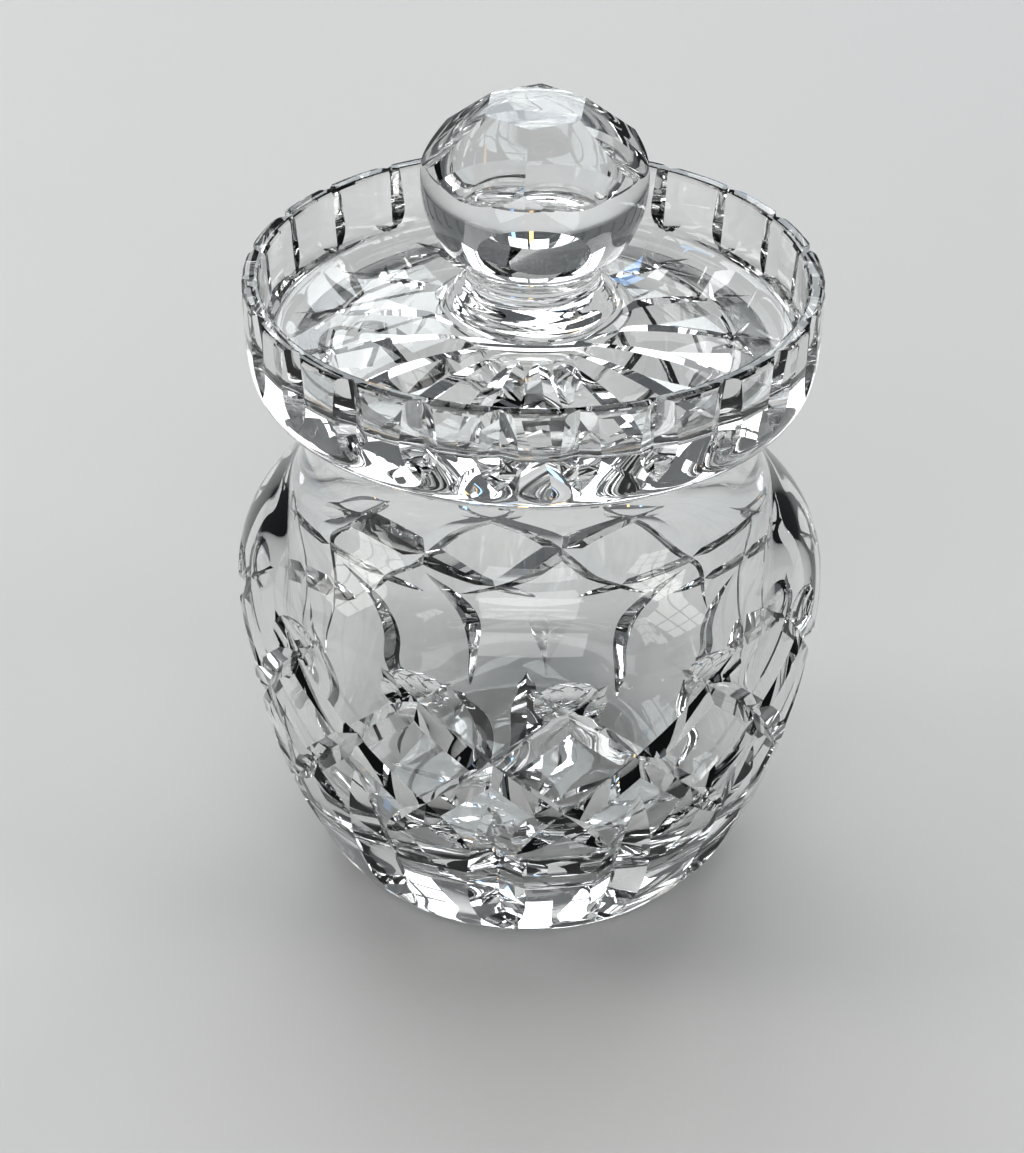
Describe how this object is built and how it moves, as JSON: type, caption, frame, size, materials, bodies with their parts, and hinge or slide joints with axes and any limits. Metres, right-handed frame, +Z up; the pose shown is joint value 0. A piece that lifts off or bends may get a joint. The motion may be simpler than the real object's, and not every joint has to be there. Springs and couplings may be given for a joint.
{
  "type": "lidded powder jar",
  "caption": "Round-shouldered cut-crystal powder jar with a lift-off dished lid, fluted rim and faceted ball knob.",
  "frame": {"origin": "centre of the foot, on the surface that the jar stands on", "axes": "+Z up along the jar's axis, -Y towards the front of the cut pattern"},
  "size_m": [0.0938, 0.0938, 0.1334],
  "materials": {
    "crystal": "polished, wheel-cut lead crystal"
  },
  "bodies": {
    "jar": {"jar": "crystal"},
    "lid": {"lid": "crystal"}
  },
  "joints": [
    {"name": "lid_lift", "type": "slide", "parent": "jar", "child": "lid", "axis": [0, 0, 1], "range_m": [0, 0.06]}
  ]
}
